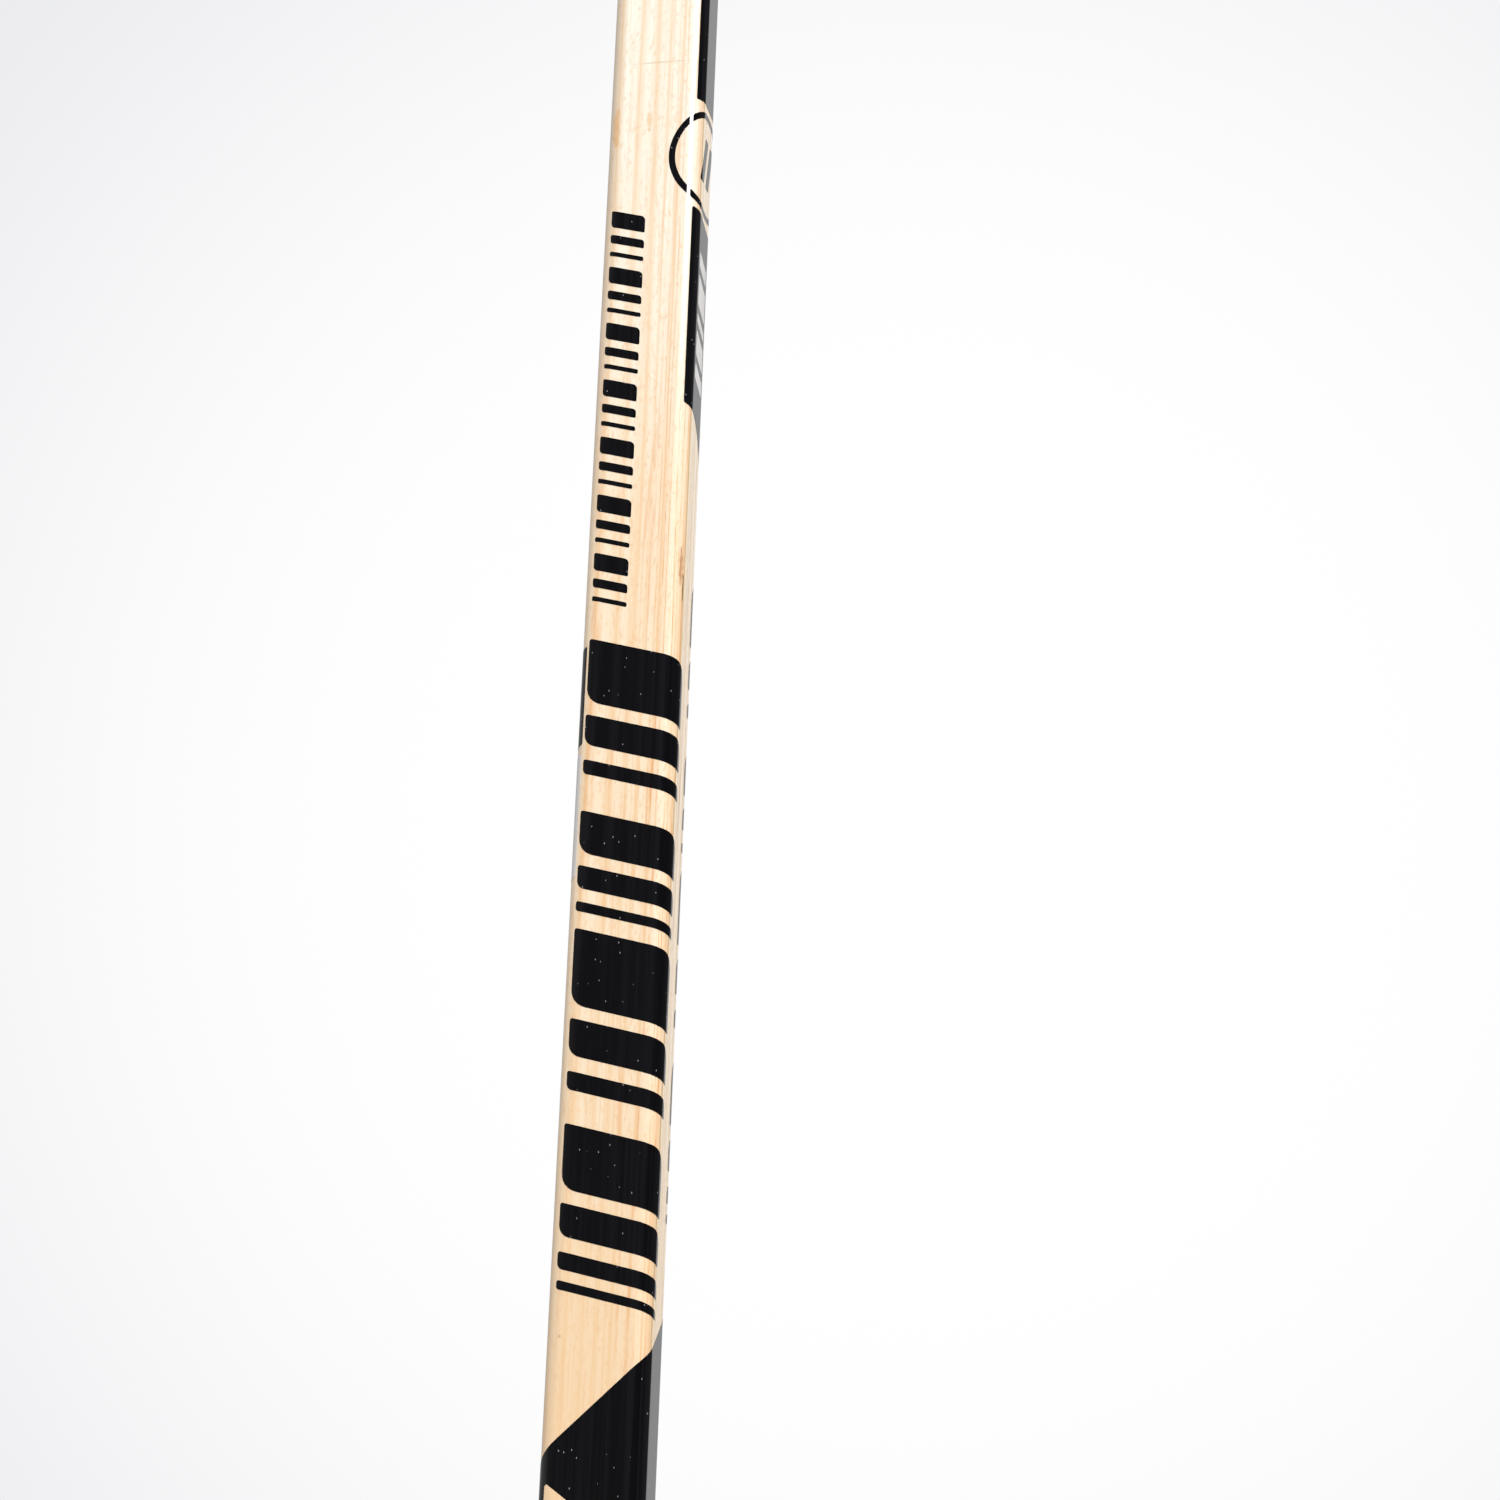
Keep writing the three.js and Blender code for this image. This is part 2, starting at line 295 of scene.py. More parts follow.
INK_BLACK, INK_WORN, INK_SPECK = linear(5, 5, 7), linear(18, 18, 22), linear(150, 150, 156)
PALE_INK, PALE_WORN, PALE_SPECK = linear(190, 187, 184), linear(164, 161, 158), linear(224, 222, 220)
PINHOLE_SIZE = 0.085
PINHOLE_CHANCE = 0.9

BLADE_TURN = math.radians(45)
WEAVE_PITCH = 1.5 * MM


def varnished(graph, colour, roughness, gloss, bump, coat_bump):
    """A Principled surface under a gloss coat. Each bump is a height map and its depth."""
    normals = [
        graph.node("ShaderNodeBump", {"Height": height, "Distance": depth, "Strength": 1.0})
        for height, depth in (bump, coat_bump)
    ]
    shader = graph.node("ShaderNodeBsdfPrincipled", {
        "Base Color": colour, "Roughness": roughness, "IOR": VARNISH_IOR,
        "Normal": normals[0].outputs[0], "Specular IOR Level": gloss,
        "Coat Weight": 1.0, "Coat Roughness": VARNISH_ROUGHNESS, "Coat IOR": VARNISH_IOR,
        "Coat Normal": normals[1].outputs[0],
    })
    graph.node("ShaderNodeOutputMaterial", {"Surface": shader.outputs[0]})


def new_material(name):
    material = bpy.data.materials.new(name)
    material.use_nodes = True
    return material, Graph(material.node_tree)


def grain(graph, point, turn, spacing, shift):
    """Growth lines, medium streaks and fine fibres of wood, each from 0 to 1, along Z."""
    turned = graph.node("ShaderNodeMapping", {
        "Vector": point, "Rotation": (0, 0, math.radians(turn)), "Location": (shift, 0, 0),
    }).outputs["Vector"]
    wander = graph.noise(graph.stretch(turned, WANDER_CELL), detail=2)
    slow = graph.noise(graph.stretch(turned, DRIFT_CELL, (7, 3, 1)), detail=1)
    across = graph.node("ShaderNodeSeparateXYZ", {"Vector": turned}).outputs["X"]
    offset = graph.math(
        "ADD", graph.math("MULTIPLY", wander, RING_WANDER), graph.math("MULTIPLY", slow, RING_DRIFT))
    rings = graph.math("FRACT", graph.math("DIVIDE", graph.math("ADD", across, offset), spacing))
    lines = graph.ramp(rings, RING_PROFILE)
    streak_point = graph.stretch(turned, STREAK_CELL, (3, 5, 2))
    streaks = graph.noise(streak_point, detail=3, roughness=0.6)
    fibre_point = graph.stretch(turned, FIBRE_CELL, (1, 9, 4))
    fibres = graph.noise(fibre_point, detail=3, roughness=0.65)
    return lines, streaks, fibres, turned


def object_point(graph):
    return graph.node("ShaderNodeTexCoord").outputs["Object"]


def veins(graph, turned):
    """Thin broken lines that wander along the grain, from 0 to 1."""
    field = graph.noise(graph.stretch(turned, VEIN_CELL, (11, 4, 2)), detail=1)
    band = graph.math("FRACT", graph.math("MULTIPLY", field, VEIN_BANDS))
    away = graph.math("ABSOLUTE", graph.math("SUBTRACT", band, 0.5))
    line = graph.range(away, 0.0, VEIN_WIDTH, 1.0, 0.0)
    gaps = graph.noise(graph.stretch(turned, GAP_CELL, (8, 8, 5)), detail=3, roughness=0.7)
    return graph.math("MULTIPLY", line, graph.range(gaps, 0.38, 0.62, 0.1, 1.0))


def end_grain(graph, colour, point, deep):
    """Where the wood is cut across: darker, with pores."""
    normal = graph.node("ShaderNodeNewGeometry").outputs["Normal"]
    up = graph.node("ShaderNodeSeparateXYZ", {"Vector": normal}).outputs["Z"]
    cut = graph.range(graph.math("ABSOLUTE", up), 0.93, 0.98)
    pores = graph.noise(graph.stretch(point, CUT_PORE_CELL, (3, 3, 3)), detail=2, roughness=0.7)
    sawn = graph.noise(graph.stretch(point, CUT_CELL, (9, 1, 3)), detail=3)
    dark = graph.mix(graph.range(sawn, 0.35, 0.65, 0.5, 0.85), colour, deep)
    dark = graph.mix(graph.range(pores, 0.5, 0.62, 0.0, 0.75), dark, END_PORE)
    return graph.mix(cut, colour, dark)


def board(graph, point, axes, tones, lines, streaks, fibres):
    """The board's colours, paler high up as painted light falloff, its growth lines and slow blotches.
    """
    high_pale, high_honey, low_pale, low_honey, deep = tones
    # Painted light falloff: the pale and honey tones shift from those high up to those low down
    low = graph.range(axes.outputs["Z"], FALLOFF_FROM, FALLOFF_TO)
    pale = graph.mix(low, high_pale, low_pale)
    honey = graph.mix(low, high_honey, low_honey)
    # The darkest lines are stronger towards +X.
    edge = graph.range(axes.outputs["X"], 0.0, 13 * MM, 0.4, 1.15)
    edge = graph.math("MULTIPLY", edge, graph.range(low, 0.0, 1.0, 0.5, 1.0))
    strength = graph.math("MULTIPLY", lines, graph.range(low, 0.0, 1.0, 0.85, 0.6))
    soft = graph.range(streaks, 0.36, 0.68, 0.0, 0.28)
    fine = graph.range(fibres, 0.35, 0.7, 0.0, 0.22)
    factor = graph.math("ADD", graph.math("ADD", strength, soft), fine, clamp=True)
    colour = graph.mix(factor, pale, honey)
    blotch = graph.noise(graph.stretch(point, BLOTCH_CELL, (2, 2, 8)), detail=3)
    colour = graph.mix(graph.range(blotch, 0.45, 0.75, 0.0, 0.18), colour, honey)
    deepest = graph.math("MULTIPLY", edge, 0.4)
    deepest = graph.math("MULTIPLY", graph.range(factor, 0.55, 1.0), deepest)
    colour = graph.mix(deepest, colour, deep)
    return colour, honey, low, edge, blotch


def pored(graph, colour, point, turned, honey, deep):
    """Rays and short dark pores along the grain. The rays' map is returned too."""
    crumbs = graph.noise(graph.stretch(point, RAY_CELL, (5, 2, 6)), detail=3)
    colour = graph.mix(graph.range(crumbs, 0.48, 0.68, 0.0, 0.34), colour, honey)
    colour = graph.mix(graph.range(crumbs, 0.55, 0.72, 0.0, 0.22), colour, deep)
    pores = graph.noise(graph.stretch(turned, PORE_CELL, (6, 1, 3)), detail=1)
    colour = graph.mix(graph.range(pores, 0.7, 0.8, 0.0, 0.4), colour, deep)
    return colour, crumbs


def painted_shading(graph, colour, axes, honey, low, blotch):
    """Painted shade: honey low down, a tan on the left rounding, and darker at the top near the butt.
    """
    # Painted shade: honey low down, darker towards the bottom
    colour = graph.mix(graph.range(axes.outputs["Z"], BOTTOM_SHADE_FROM, BOTTOM_SHADE_TO, 0.0, 0.65), colour, honey)
    # Painted shade: tan on the left rounding, stronger high up
    corner = graph.range(axes.outputs["X"], LEFT_SHADE_FROM, LEFT_SHADE_TO)
    left_shade = graph.math("MULTIPLY", corner, graph.range(low, 0.0, 1.0, LEFT_SHADE_HIGH, LEFT_SHADE_LOW))
    colour = graph.mix(left_shade, colour, LEFT_SHADE)
    # Painted shade: darker towards the butt end, where the light is strongest
    top_shade = graph.range(axes.outputs["Z"], TOP_SHADE_FROM, TOP_SHADE_TO, 0.0, 0.5)
    top_shade = graph.math("MULTIPLY", top_shade, graph.range(blotch, 0.4, 0.7, 0.8, 1.2))
    return graph.mix(top_shade, colour, TOP_SHADE)


def glued(graph, colour, axes):
    """Dark lines where the plies meet."""
    depth = graph.math("ABSOLUTE", axes.outputs["Y"])
    for level in GLUE_LEVELS:
        away = graph.math("ABSOLUTE", graph.math("SUBTRACT", depth, level))
        colour = graph.mix(graph.range(away, GLUE_DARK, GLUE_FAINT, 0.6, 0.0), colour, GLUE_BROWN)
    return colour


def marked(graph, colour, axes, crumbs, marks):
    """Ragged oval stains on the front."""
    front = graph.math("LESS_THAN", axes.outputs["Y"], 0.0)
    for spot_x, spot_z, size_x, size_z, stain, amount in marks:
        dx = graph.math("DIVIDE", graph.math("SUBTRACT", axes.outputs["X"], spot_x), size_x)
        dz = graph.math("DIVIDE", graph.math("SUBTRACT", axes.outputs["Z"], spot_z), size_z)
        away = graph.math("ADD", graph.math("MULTIPLY", dx, dx), graph.math("MULTIPLY", dz, dz))
        rough = graph.math("MULTIPLY", graph.math("SUBTRACT", crumbs, 0.5), MARK_RAGGEDNESS)
        cover = graph.range(graph.math("ADD", away, rough), 1.2, 0.0, 0.0, amount)
        colour = graph.mix(graph.math("MULTIPLY", cover, front), colour, stain)
    return colour


def wood(name, tones, turn, spacing, shift, marks=()):
    """Varnished wood with its grain along the shaft: growth lines turned by an angle, and spaced."""
    deep = tones[-1]
    material, graph = new_material(name)
    point = object_point(graph)
    axes = graph.node("ShaderNodeSeparateXYZ", {"Vector": point})
    lines, streaks, fibres, turned = grain(graph, point, turn, spacing, shift)
    colour, honey, low, edge, blotch = board(graph, point, axes, tones, lines, streaks, fibres)
    thin = graph.math("MULTIPLY", veins(graph, turned), graph.math("MULTIPLY", edge, 0.85))
    colour = graph.mix(thin, colour, deep)
    colour, crumbs = pored(graph, colour, point, turned, honey, deep)
    colour = painted_shading(graph, colour, axes, honey, low, blotch)
    colour = end_grain(graph, colour, point, deep)
    colour = glued(graph, colour, axes)
    colour = marked(graph, colour, axes, crumbs, marks)
    roughness = graph.range(fibres, 0.3, 0.7, 0.38, 0.5)
    varnished(graph, colour, roughness, 0.2, (fibres, 0.02 * MM), (streaks, 0.012 * MM))
    return material


def ink_material(name, base, worn, speck):
    """Gloss print over wood: the grain shows through faintly, with scattered pinholes."""
    material, graph = new_material(name)
    point = object_point(graph)
    _, streaks, fibres, _ = grain(graph, point, 12, 4.4 * MM, 0)
    colour = graph.mix(graph.range(streaks, 0.4, 0.75, 0.0, 0.8), base, worn)
    cells = graph.node("ShaderNodeTexVoronoi", {
        "Vector": graph.stretch(point, PINHOLE_CELL), "Scale": 1.0, "Randomness": 1.0,
    })
    dots = graph.math("LESS_THAN", cells.outputs["Distance"], PINHOLE_SIZE)
    chance = graph.node("ShaderNodeSeparateColor", {"Color": cells.outputs["Color"]}).outputs[0]
    patches = graph.noise(graph.stretch(point, PATCH_CELL, (4, 4, 4)), detail=1)
    chance = graph.math("ADD", chance, graph.math("MULTIPLY", patches, 0.9))
    pinholes = graph.math("MULTIPLY", dots, graph.math("GREATER_THAN", chance, PINHOLE_CHANCE))
    colour = graph.mix(graph.math("MULTIPLY", pinholes, 0.55), colour, speck)
    varnished(graph, colour, 0.35, 0.0, (fibres, 0.01 * MM), (streaks, 0.012 * MM))
    return material


def fibre_material():
    """The edge of a layer of resin and glass fibre."""
    material, graph = new_material("resin_fibre_layer")
    point = object_point(graph)
    threads = graph.noise(graph.stretch(point, THREAD_CELL), detail=2)
    colour = graph.mix(threads, linear(208, 182, 142), linear(172, 136, 94))
    varnished(graph, colour, 0.35, 0.2, (threads, 0.01 * MM), (threads, 0.004 * MM))
    return material


def skin_material():
    """Woven glass fibre under clear resin, over wood with its grain along the blade."""
    material, graph = new_material("glass_cloth_over_wood")
    point = object_point(graph)
    along = graph.node("ShaderNodeMapping", {
        "Vector": point, "Rotation": (0, -BLADE_TURN, 0),
    }).outputs["Vector"]
    axes = graph.node("ShaderNodeSeparateXYZ", {"Vector": along})
    x, z = axes.outputs["X"], axes.outputs["Z"]
    swapped = graph.node("ShaderNodeCombineXYZ", {"X": z, "Y": axes.outputs["Y"], "Z": x})
    lines, _, fibres, _ = grain(graph, swapped.outputs[0], 8, 5.2 * MM, 2 * MM)
    soft = graph.math("MULTIPLY", lines, 0.3)
    factor = graph.math("ADD", soft, graph.range(fibres, 0.35, 0.7, 0, 0.3), clamp=True)
    colour = graph.mix(factor, linear(220, 200, 164), linear(196, 166, 122))

    def wave(value):
        return graph.math("SINE", graph.math("MULTIPLY", value, math.pi / WEAVE_PITCH))
    warp, weft = wave(x), wave(z)
    over = graph.math("GREATER_THAN", graph.math("MULTIPLY", warp, weft), 0.0)
    crossing = graph.math("MULTIPLY", over, graph.math("ABSOLUTE", warp))
    under = graph.math("MULTIPLY", graph.math("SUBTRACT", 1.0, over), graph.math("ABSOLUTE", weft))
    weave = graph.math("ADD", crossing, under)
    colour = graph.mix(graph.range(weave, 0.25, 0.95, 0.0, 0.26), colour, linear(238, 232, 214))
    varnished(graph, colour, 0.3, 0.3, (weave, 0.05 * MM), (weave, 0.006 * MM))
    return material


# --- Finished copies of the CAD solids ---

MERGE_DISTANCE = 0.001 * MM
FLAT_ENOUGH = math.radians(0.05)
SHARP = math.radians(32)


def finish_copy(node, material, inset=0.0, bevel=0.0):
    """A copy of a CAD solid with merged corners, soft shading and a fine bevel, which stands for it."""
    source = frame["nodes"][node]
    shape = bmesh.new()
    shape.from_mesh(source.data)
    bmesh.ops.remove_doubles(shape, verts=shape.verts, dist=MERGE_DISTANCE)
    for vertex in shape.verts:
        vertex.co.x -= inset * max(-1, min(1, vertex.co.x / HALF_WIDTH))
        vertex.co.y -= inset * max(-1, min(1, vertex.co.y / HALF_THICKNESS))
    bmesh.ops.dissolve_limit(
        shape, angle_limit=FLAT_ENOUGH, verts=shape.verts, edges=shape.edges,
        use_dissolve_boundaries=False)
    for face in shape.faces:
        face.smooth = True
    for edge in shape.edges:
        edge.smooth = edge.calc_face_angle(math.pi) < SHARP
    mesh = bpy.data.meshes.new(node + "_finished")
    shape.to_mesh(mesh)
    shape.free()
    piece = bpy.data.objects.new(node + "_finished", mesh)
    bpy.context.scene.collection.objects.link(piece)
    mesh.materials.append(material)
    if bevel:
        soften = piece.modifiers.new("bevel", "BEVEL")
        soften.width = bevel
        soften.segments = 2
        soften.limit_method = "ANGLE"
        soften.angle_limit = SHARP
        soften.harden_normals = False
    weigh = piece.modifiers.new("weighted_normals", "WEIGHTED_NORMAL")
    weigh.mode = "FACE_AREA"
    weigh.keep_sharp = True
    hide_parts(node)
    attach(piece, "root")


# --- Print ---

SLANT = math.tan(math.radians(15))
SLANT_START = -12.0  # slanted lines keep their height here, in millimetres from the middle
CORNER_CUTS = 12
ARC_STEPS = 6
RING_STEPS = 72
WELD_DISTANCE = 0.005 * MM


def on_shaft(u, z, depth):
    """The point and the outward direction at a place on the unwrapped shaft."""
    u = (u + BACK_MIDDLE) % PERIMETER - BACK_MIDDLE
    side = 1 if u >= 0 else -1
    run = abs(u)
    corner_x, corner_y = HALF_WIDTH - CORNER_RADIUS, HALF_THICKNESS - CORNER_RADIUS
    first_end = FLAT_HALF + CORNER_ARC
    side_end = first_end + SIDE_FLAT
    if run <= FLAT_HALF:
        x, y, angle = run, -corner_y, 0.0
    elif run <= first_end:
        x, y, angle = corner_x, -corner_y, (run - FLAT_HALF) / CORNER_RADIUS
    elif run <= side_end:
        x, y, angle = corner_x, run - first_end - corner_y, math.pi / 2
    elif run <= side_end + CORNER_ARC:
        x, y, angle = corner_x, corner_y, math.pi / 2 + (run - side_end) / CORNER_RADIUS
    else:
        x, y, angle = BACK_MIDDLE - run, corner_y, math.pi
    outward = Vector((side * math.sin(angle), -math.cos(angle), 0))
    return Vector((side * x, y, z)) + outward * (CORNER_RADIUS - depth), outward


def shaft_cuts():
    """Where a film has to bend: close together round each corner."""
    starts = [FLAT_HALF, SIDE_MIDDLE + SIDE_FLAT / 2]
    starts += [-(start + CORNER_ARC) for start in starts]
    starts += [start + PERIMETER for start in starts if start < 0]
    shares = [step / CORNER_CUTS for step in range(CORNER_CUTS + 1)]
    return sorted(start + CORNER_ARC * share for start in starts for share in shares)


def flat_sheet(outlines, cuts):
    """Outlines in millimetres as one flat triangulated sheet in metres, divided along each cut."""
    flat = bmesh.new()
    for outline in outlines:
        ring = outline if area(outline) > 0 else outline[::-1]
        flat.faces.new([flat.verts.new((u * MM, z * MM, 0)) for u, z in ring])
    bmesh.ops.remove_doubles(flat, verts=flat.verts, dist=WELD_DISTANCE)
    bmesh.ops.triangulate(flat, faces=flat.faces)
    for cut in cuts:
        bmesh.ops.bisect_plane(
            flat, geom=flat.verts[:] + flat.edges[:] + flat.faces[:], dist=MERGE_DISTANCE,
            plane_co=(cut, 0, 0), plane_no=(1, 0, 0))
    bmesh.ops.triangulate(flat, faces=[face for face in flat.faces if len(face.verts) > 3])
    flat.verts.index_update()
    return flat


def film(name, outlines, material, depth, place=on_shaft, cuts=None):
    """A thin closed layer over outlines drawn flat in millimetres, bent onto the surface."""
    flat = flat_sheet(outlines, shaft_cuts() if cuts is None else cuts)
    outer = [place(v.co.x, v.co.y, depth) for v in flat.verts]
    inner = [place(v.co.x, v.co.y, depth + FILM_THICKNESS) for v in flat.verts]
    count = len(outer)
    points = [point for point, _ in outer + inner]
    normals = [normal for _, normal in outer] + [-normal for _, normal in inner]
    faces = []
    for face in flat.faces:
        ring = [v.index for v in face.verts]
        faces.append(ring)
        faces.append([count + i for i in reversed(ring)])
    rims = [edge.link_loops[0] for edge in flat.edges if len(edge.link_faces) == 1]
    rims = [(rim.vert.index, rim.link_loop_next.vert.index) for rim in rims]
    flat.free()
    walls = [[b, a, count + a, count + b] for a, b in rims]
    mesh = bpy.data.meshes.new(name)
    mesh.from_pydata(points, [], faces + walls)
    loops = []
    for polygon in mesh.polygons:
        polygon.use_smooth = True
        sheet = polygon.index < len(faces)
        for vertex in polygon.vertices:
            loops.append(normals[vertex] if sheet else polygon.normal)
    mesh.normals_split_custom_set(loops)
    mesh.materials.append(material)
    piece = bpy.data.objects.new(name, mesh)
    bpy.context.scene.collection.objects.link(piece)
    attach(piece, "root")


def area(outline):
    """The signed area, positive when the outline runs anticlockwise."""
    pairs = zip(outline, outline[1:] + outline[:1])
    return sum(a[0] * b[1] - b[0] * a[1] for a, b in pairs) / 2


def rounded(corners, radius):
    """A closed outline through the corners (u, z), each rounded off. A corner may carry its radius."""
    points = []
    earlier, later = corners[-1:] + corners[:-1], corners[1:] + corners[:1]
    for before, here, after in zip(earlier, corners, later):
        corner = Vector(here[:2])
        size = here[2] if len(here) > 2 else radius
        back, ahead = Vector(before[:2]) - corner, Vector(after[:2]) - corner
        half = back.angle(ahead) / 2
        reach = size / math.tan(half)
        back.normalize()
        ahead.normalize()
        start, end = corner + back * reach, corner + ahead * reach
        middle = corner + (back + ahead).normalized() * (size / math.sin(half))
        for step in range(ARC_STEPS + 1):
            turn = (start - middle).lerp(end - middle, step / ARC_STEPS).normalized() * size
            points.append(tuple(middle + turn))
    return points


def slanted(corners):
    """The corners sheared so that level lines fall towards +u."""
    return [(u, z - (u - SLANT_START) * SLANT, *rest) for u, z, *rest in corners]


def slab(left, right, top, bottom, radius, bow):
    """A slanted bar. Its lower left and upper right corners are rounded off by the bow."""
    corners = [(left, top, radius), (left, bottom, bow), (right, bottom, radius), (right, top, bow)]
    return rounded(slanted(corners), bow)


def annulus(centre_u, centre_z, outer, inner):
    """A flat ring as four-sided outlines side by side."""
    quads = []
    for step in range(RING_STEPS):
        a, b = (2 * math.pi * (step + extra) / RING_STEPS for extra in (0, 1))
        quads.append([
            (centre_u + size * math.cos(angle), centre_z + size * math.sin(angle))
            for size, angle in ((inner, a), (outer, a), (outer, b), (inner, b))
        ])
    return quads


def fading_bars(left, right, top, bars, radius, bow):
    """Slanted bars one below the other. Each has a height and the gap that follows it."""
    outlines = []
    for height, gap in bars:
        bottom = top - height
        small, large = min(radius, height * 0.3), min(bow, height * 0.45)
        outlines.append(slab(left, right, top, bottom, small, large))
        top = bottom - gap
    return outlines


# The print's sizes and places are in millimetres, and its heights are counted from the butt end.
SMALL_BARS_TOP = -621.0
SMALL_BARS_LEFT, SMALL_BARS_RIGHT = -12.2, -1.4
SMALL_BARS_RADII = (0.4, 1.8)
SMALL_BARS = ((5.6, 2.6), (2.9, 2.9), (1.5, 3.7))
SMALL_GROUPS = 7
LARGE_BARS_TOP = -764.0
LARGE_BARS_LEFT, LARGE_BARS_RIGHT = -12.3, 18.9
LARGE_BARS_RADII = (0.6, 6.0)
# Drop from the top of the print, then each bar's height and the gap that follows it
LARGE_GROUPS = (
    (0, ((20, 4), (9.5, 4.6), (4.5, 0))),
    (54, ((13, 3.8), (7, 4), (3, 0))),
    (90, ((23, 4), (11, 4.6), (5.5, 0))),
    (148, ((19, 4), (9.5, 4.4), (5, 3.2), (2.6, 0))),
)
BACK_LIFT = 30

SIDE = SIDE_MIDDLE / MM
SIDE_NEAR = 13.2
SIDE_FAR = 2 * SIDE - SIDE_NEAR
RING_HEIGHT = -603.0
RING_OUTER, RING_INNER = 17.8, 15.8
RING_BAR_PLACES = (-7, -1)
RING_BAR_WIDTH, RING_BAR_LEAN = 3.5, 4
RING_BAR_BELOW, RING_BAR_ABOVE = 7, 9
RING_BAR_RADIUS = 0.5
PANEL_RADIUS = 0.6
UPPER_PANEL = ((SIDE_NEAR, -340), (SIDE_NEAR, -583), (SIDE_FAR, -583), (SIDE_FAR, -352))
LOWER_PANEL = (
    (SIDE_NEAR, -620.5), (SIDE_NEAR, -687.5), (SIDE, -690.8, 12), (SIDE_FAR, -706),
    (SIDE_FAR, -625.5),
)
PALE_LEFT, PALE_RIGHT = 18.6, 27.1
PALE_DROP = 3
PALE_RADIUS = 0.4
# Top and height of each pale bar on the lower black panel
PALE_BARS = ((-634, 5), (-642, 10), (-655, 3), (-661, 8), (-672, 5))
LEFT_PANELS = (("black", -766, -797), ("pale", -800, -838))
LEFT_PANEL_DROP = 4
BAND_RADIUS = 0.7
BAND = (
    (-SIDE_FAR, -1023), (-SIDE_FAR, -1064), (-12.9, -1060), (-12.9, -1013.2), (32, -1047.6),
    (58, -1027.6), (58, -986.6), (32, -962),
)
# Top and height of each stripe that follows the band's lower edge
ECHOES = ((-1022.4, 5.5), (-1034.4, 3))
# Their course: distance round the shaft, and drop from the top
ECHO_COURSE = ((-10.5, 0), (32, 34.1), (58, 14.1))


def small_print():
    """Equal groups of bars that get thinner, down the left of the face."""
    bars = SMALL_BARS * SMALL_GROUPS
    return fading_bars(SMALL_BARS_LEFT, SMALL_BARS_RIGHT, SMALL_BARS_TOP, bars, *SMALL_BARS_RADII)


def large_print():
    """Groups of bars that get thinner, over the width of the face."""
    outlines = []
    for drop, bars in LARGE_GROUPS:
        top = LARGE_BARS_TOP - drop
        outlines += fading_bars(LARGE_BARS_LEFT, LARGE_BARS_RIGHT, top, bars, *LARGE_BARS_RADII)
    return outlines


def back_print(outlines):
    """The same outlines on the back face, mirrored about the side's middle line and shifted up."""
    back = BACK_MIDDLE / MM
    return [[(back - u, z + BACK_LIFT) for u, z in outline] for outline in outlines]


def make_bars(black):
    """Small and large bars on the front face, and the same on the back."""
    prints = {"small": small_print(), "large": large_print()}
    for size, outlines in prints.items():
        film(f"print_{size}_bars_front", outlines, black, INK_DEPTH)
    for size, outlines in prints.items():
        film(f"print_{size}_bars_back", back_print(outlines), black, INK_DEPTH)


def make_ring(black):
    """A plain ring round the right side, with two leaning bars in it."""
    ring = annulus(SIDE, RING_HEIGHT, RING_OUTER, RING_INNER)
    film("print_ring", ring, black, INK_DEPTH)
    low, high = RING_HEIGHT - RING_BAR_BELOW, RING_HEIGHT + RING_BAR_ABOVE
    bars = []
    for place in RING_BAR_PLACES:
        foot = SIDE + place
        head = foot + RING_BAR_LEAN
        bars.append(rounded([
            (foot, low), (foot + RING_BAR_WIDTH, low), (head + RING_BAR_WIDTH, high), (head, high),
        ], RING_BAR_RADIUS))
    film("print_ring_bars", bars, black, INK_DEPTH)


def make_side_panels(black, pale):
    """Black panels on the right side above and below the ring, and a short pair on the left side."""
    panels = [rounded(list(panel), PANEL_RADIUS) for panel in (UPPER_PANEL, LOWER_PANEL)]
    film("print_side_panels", panels, black, INK_DEPTH)
    bars = []
    for top, height in PALE_BARS:
        bottom = top - height
        bars.append(rounded([
            (PALE_LEFT, top), (PALE_LEFT, bottom), (PALE_RIGHT, bottom - PALE_DROP),
            (PALE_RIGHT, top - PALE_DROP),
        ], PALE_RADIUS))
    film("print_side_pale_bars", bars, pale, PALE_DEPTH)
    inks = {"black": black, "pale": pale}
    for name, top, bottom in LEFT_PANELS:
        panel = [
            (-SIDE_NEAR, top), (-SIDE_NEAR, bottom), (-SIDE_FAR, bottom - LEFT_PANEL_DROP),
            (-SIDE_FAR, top - LEFT_PANEL_DROP),
        ]
        outline = rounded(panel, PANEL_RADIUS)
        film(f"print_left_panel_{name}", [outline], inks[name], INK_DEPTH)


def make_band(black):
    """The slanted band below the large bars, and two stripes that follow its lower edge."""
    film("print_band", [rounded(list(BAND), BAND_RADIUS)], black, INK_DEPTH)
    echoes = []
    for top, height in ECHOES:
        upper = [(u, top - drop) for u, drop in ECHO_COURSE]
        lower = [(u, top - height - drop) for u, drop in ECHO_COURSE]
        echoes.append(rounded(upper[:1] + lower + upper[:0:-1], BAND_RADIUS))
    film("print_band_echoes", echoes, black, INK_DEPTH)


# Stripes on the blade, in millimetres: distance from the heel and width
BLADE_STRIPES = ((92, 26), (126, 12), (146, 5))
BLADE_STRIPE_LOW, BLADE_STRIPE_HIGH = 9, 51
BLADE_STRIPE_LEAN = 14
BLADE_STRIPE_RADIUS = 1.2
BLADE_CUTS = range(90, 180, 5)
SHAFT_LENGTH = 1.5
HEEL_CORNER = Vector((-HALF_WIDTH, 0, -SHAFT_LENGTH))
RAY_START = 0.1


